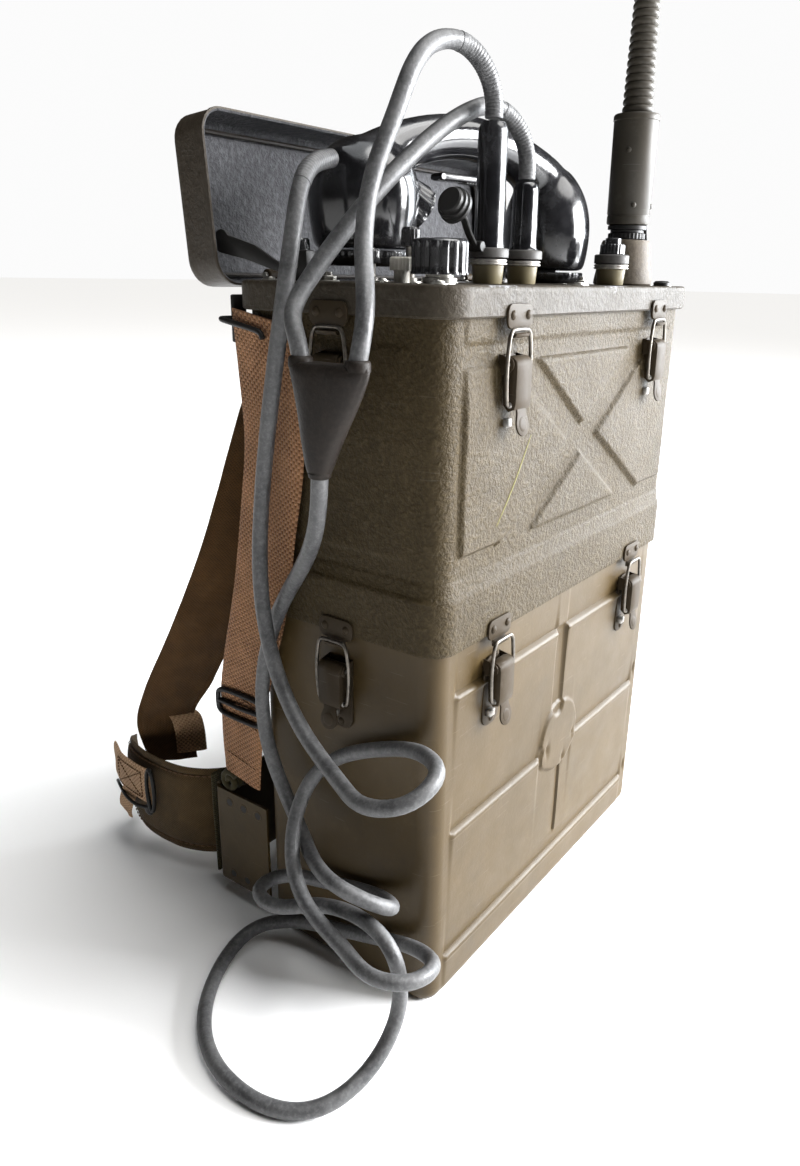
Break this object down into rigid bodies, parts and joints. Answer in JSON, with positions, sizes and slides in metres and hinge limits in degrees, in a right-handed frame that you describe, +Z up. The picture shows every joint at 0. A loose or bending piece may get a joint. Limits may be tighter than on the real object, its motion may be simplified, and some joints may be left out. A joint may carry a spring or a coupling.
{
  "type": "manpack radio set",
  "caption": "Back-carried two-way radio: olive transceiver case latched on a battery case, open lid, handset with cords, stub antenna and webbing harness.",
  "frame": {"origin": "centre of the battery case's flat underside", "axes": "+X to the right along the wide front, -Y out of the front, +Y towards the harness, +Z up"},
  "size_m": [0.4357, 0.3451, 1.27],
  "materials": {
    "olive_paint": "semi-matte olive paint, worn to metal at edges",
    "olive_crinkle": "coarse crinkle olive paint",
    "worn_steel": "bare worn steel with paint left on it",
    "black_moulding": "polished black moulding",
    "black_paint": "black painted steel",
    "cord_rubber": "dusty dark grey rubber",
    "base_rubber": "aged brown rubber",
    "tan_webbing": "woven tan cotton webbing",
    "olive_canvas": "dark olive canvas",
    "battery_card": "waxed card battery wrapper"
  },
  "bodies": {
    "root": {"antenna_base": "base_rubber", "antenna_gooseneck": "olive_paint", "antenna_rod": "black_paint", "antenna_sleeve": "olive_paint", "antenna_whip": "olive_paint", "back_pad": "olive_canvas", "battery_block": "battery_card", "battery_case": "olive_paint", "belt_webbing_left": "tan_webbing", "chassis": "worn_steel", "control_panel": "olive_crinkle", "cord_junction": "cord_rubber", "handset_body": "black_moulding", "handset_cord": "cord_rubber", "handset_earpiece_cap": "black_moulding", "handset_mouthpiece_cap": "black_moulding", "harness_frame": "olive_paint", "jack_long": "olive_paint", "jack_short": "olive_paint", "plug_lead_long": "cord_rubber", "plug_lead_short": "cord_rubber", "plug_long": "black_moulding", "plug_short": "black_moulding", "shoulder_strap_left": "olive_canvas", "shoulder_strap_right": "olive_canvas", "side_strap_left": "tan_webbing", "side_strap_right": "tan_webbing", "strap_buckle_left": "black_paint", "strap_buckle_right": "black_paint", "strap_hook_left": "black_paint", "strap_hook_right": "black_paint", "transceiver_case": "olive_crinkle", "waist_pad_left": "olive_canvas", "waist_pad_right": "olive_canvas"},
    "lid": {"lid": "olive_paint"},
    "lid_stay_left": {"lid_stay_left": "black_paint"},
    "lid_stay_right": {"lid_stay_right": "black_paint"},
    "lever_upper_front_left": {"latch_lever_upper_front_left": "olive_paint"},
    "bail_upper_front_left": {"latch_bail_upper_front_left": "worn_steel"},
    "lever_upper_front_right": {"latch_lever_upper_front_right": "olive_paint"},
    "bail_upper_front_right": {"latch_bail_upper_front_right": "worn_steel"},
    "lever_upper_left": {"latch_lever_upper_left": "olive_paint"},
    "bail_upper_left": {"latch_bail_upper_left": "worn_steel"},
    "lever_upper_right": {"latch_lever_upper_right": "olive_paint"},
    "bail_upper_right": {"latch_bail_upper_right": "worn_steel"},
    "lever_lower_front_left": {"latch_lever_lower_front_left": "olive_paint"},
    "bail_lower_front_left": {"latch_bail_lower_front_left": "worn_steel"},
    "lever_lower_front_right": {"latch_lever_lower_front_right": "olive_paint"},
    "bail_lower_front_right": {"latch_bail_lower_front_right": "worn_steel"},
    "lever_lower_left": {"latch_lever_lower_left": "olive_paint"},
    "bail_lower_left": {"latch_bail_lower_left": "worn_steel"},
    "lever_lower_right": {"latch_lever_lower_right": "olive_paint"},
    "bail_lower_right": {"latch_bail_lower_right": "worn_steel"},
    "knob_channel": {"knob_channel": "black_moulding"},
    "knob_volume": {"knob_volume": "black_moulding"},
    "knob_squelch": {"knob_squelch": "black_moulding"},
    "knob_rear": {"knob_rear": "black_moulding"},
    "antenna_trim_knob": {"antenna_trim_knob": "black_moulding"},
    "jack_cover": {"jack_cover": "black_paint"},
    "talk_switch": {"handset_talk_switch": "black_moulding"}
  },
  "joints": [
    {"name": "lid_hinge", "type": "hinge", "parent": "root", "child": "lid", "pos_m": [0, 0.079, 0.4345], "axis": [1, 0, 0], "range_deg": [0, 14]},
    {"name": "lid_stay_pivot_left", "type": "hinge", "parent": "lid", "child": "lid_stay_left", "pos_m": [-0.15, 0.087, 0.452], "axis": [1, 0, 0], "range_deg": [-11, 0]},
    {"name": "lid_stay_pivot_right", "type": "hinge", "parent": "lid", "child": "lid_stay_right", "pos_m": [0.15, 0.087, 0.452], "axis": [1, 0, 0], "range_deg": [-11, 0]},
    {"name": "lever_hinge_upper_front_left", "type": "hinge", "parent": "root", "child": "lever_upper_front_left", "pos_m": [-0.096, -0.0751, 0.393], "axis": [-1, 0, 0], "range_deg": [0, 150]},
    {"name": "bail_hinge_upper_front_left", "type": "hinge", "parent": "lever_upper_front_left", "child": "bail_upper_front_left", "pos_m": [-0.096, -0.0761, 0.372], "axis": [-1, 0, 0], "range_deg": [-150, 0]},
    {"name": "lever_hinge_upper_front_right", "type": "hinge", "parent": "root", "child": "lever_upper_front_right", "pos_m": [0.096, -0.0751, 0.393], "axis": [-1, 0, 0], "range_deg": [0, 150]},
    {"name": "bail_hinge_upper_front_right", "type": "hinge", "parent": "lever_upper_front_right", "child": "bail_upper_front_right", "pos_m": [0.096, -0.0761, 0.372], "axis": [-1, 0, 0], "range_deg": [-150, 0]},
    {"name": "lever_hinge_upper_left", "type": "hinge", "parent": "root", "child": "lever_upper_left", "pos_m": [-0.1603, 0, 0.393], "axis": [0, 1, 0], "range_deg": [0, 20]},
    {"name": "bail_hinge_upper_left", "type": "hinge", "parent": "lever_upper_left", "child": "bail_upper_left", "pos_m": [-0.1613, 0, 0.372], "axis": [0, 1, 0], "range_deg": [-20, 0]},
    {"name": "lever_hinge_upper_right", "type": "hinge", "parent": "root", "child": "lever_upper_right", "pos_m": [0.1603, 0, 0.393], "axis": [0, -1, 0], "range_deg": [0, 150]},
    {"name": "bail_hinge_upper_right", "type": "hinge", "parent": "lever_upper_right", "child": "bail_upper_right", "pos_m": [0.1613, 0, 0.372], "axis": [0, -1, 0], "range_deg": [-150, 0]},
    {"name": "lever_hinge_lower_front_left", "type": "hinge", "parent": "root", "child": "lever_lower_front_left", "pos_m": [-0.096, -0.0751, 0.219], "axis": [-1, 0, 0], "range_deg": [0, 150]},
    {"name": "bail_hinge_lower_front_left", "type": "hinge", "parent": "lever_lower_front_left", "child": "bail_lower_front_left", "pos_m": [-0.096, -0.0761, 0.198], "axis": [-1, 0, 0], "range_deg": [-150, 0]},
    {"name": "lever_hinge_lower_front_right", "type": "hinge", "parent": "root", "child": "lever_lower_front_right", "pos_m": [0.096, -0.0751, 0.219], "axis": [-1, 0, 0], "range_deg": [0, 150]},
    {"name": "bail_hinge_lower_front_right", "type": "hinge", "parent": "lever_lower_front_right", "child": "bail_lower_front_right", "pos_m": [0.096, -0.0761, 0.198], "axis": [-1, 0, 0], "range_deg": [-150, 0]},
    {"name": "lever_hinge_lower_left", "type": "hinge", "parent": "root", "child": "lever_lower_left", "pos_m": [-0.1603, 0, 0.219], "axis": [0, 1, 0], "range_deg": [0, 20]},
    {"name": "bail_hinge_lower_left", "type": "hinge", "parent": "lever_lower_left", "child": "bail_lower_left", "pos_m": [-0.1613, 0, 0.198], "axis": [0, 1, 0], "range_deg": [-20, 0]},
    {"name": "lever_hinge_lower_right", "type": "hinge", "parent": "root", "child": "lever_lower_right", "pos_m": [0.1603, 0, 0.219], "axis": [0, -1, 0], "range_deg": [0, 150]},
    {"name": "bail_hinge_lower_right", "type": "hinge", "parent": "lever_lower_right", "child": "bail_lower_right", "pos_m": [0.1613, 0, 0.198], "axis": [0, -1, 0], "range_deg": [-150, 0]},
    {"name": "knob_channel_turn", "type": "hinge", "parent": "root", "child": "knob_channel", "pos_m": [-0.1195, -0.04, 0.4323], "axis": [0, 0, 1], "range_deg": [-150, 150]},
    {"name": "knob_volume_turn", "type": "hinge", "parent": "root", "child": "knob_volume", "pos_m": [-0.104, -0.01, 0.4323], "axis": [0, 0, 1], "range_deg": [-140, 140]},
    {"name": "knob_squelch_turn", "type": "hinge", "parent": "root", "child": "knob_squelch", "pos_m": [-0.123, 0.002, 0.4323], "axis": [0, 0, 1], "range_deg": [-140, 140]},
    {"name": "knob_rear_turn", "type": "hinge", "parent": "root", "child": "knob_rear", "pos_m": [-0.127, 0.05, 0.4323], "axis": [0, 0, 1], "range_deg": [-140, 140]},
    {"name": "antenna_trim_knob_turn", "type": "hinge", "parent": "root", "child": "antenna_trim_knob", "pos_m": [0.06, -0.053, 0.4323], "axis": [0, 0, 1], "range_deg": [-150, 150]},
    {"name": "jack_cover_hinge", "type": "hinge", "parent": "root", "child": "jack_cover", "pos_m": [-0.085, -0.04, 0.4515], "axis": [0, 1, 0], "range_deg": [0, 15]},
    {"name": "talk_switch_pivot", "type": "hinge", "parent": "root", "child": "talk_switch", "pos_m": [-0.03464, 0.02168, 0.4925], "axis": [0.238, 0.9713, 0], "range_deg": [-5, 0], "stiffness_Nm_per_rad": 0.05, "springref_deg": 2.86}
  ],
  "couplings": [
    {"joint": "lid_stay_pivot_left", "follows": "lid_hinge", "ratio": -0.757},
    {"joint": "lid_stay_pivot_right", "follows": "lid_hinge", "ratio": -0.757},
    {"joint": "bail_hinge_upper_front_left", "follows": "lever_hinge_upper_front_left", "ratio": -1},
    {"joint": "bail_hinge_upper_front_right", "follows": "lever_hinge_upper_front_right", "ratio": -1},
    {"joint": "bail_hinge_upper_left", "follows": "lever_hinge_upper_left", "ratio": -1},
    {"joint": "bail_hinge_upper_right", "follows": "lever_hinge_upper_right", "ratio": -1},
    {"joint": "bail_hinge_lower_front_left", "follows": "lever_hinge_lower_front_left", "ratio": -1},
    {"joint": "bail_hinge_lower_front_right", "follows": "lever_hinge_lower_front_right", "ratio": -1},
    {"joint": "bail_hinge_lower_left", "follows": "lever_hinge_lower_left", "ratio": -1},
    {"joint": "bail_hinge_lower_right", "follows": "lever_hinge_lower_right", "ratio": -1}
  ]
}
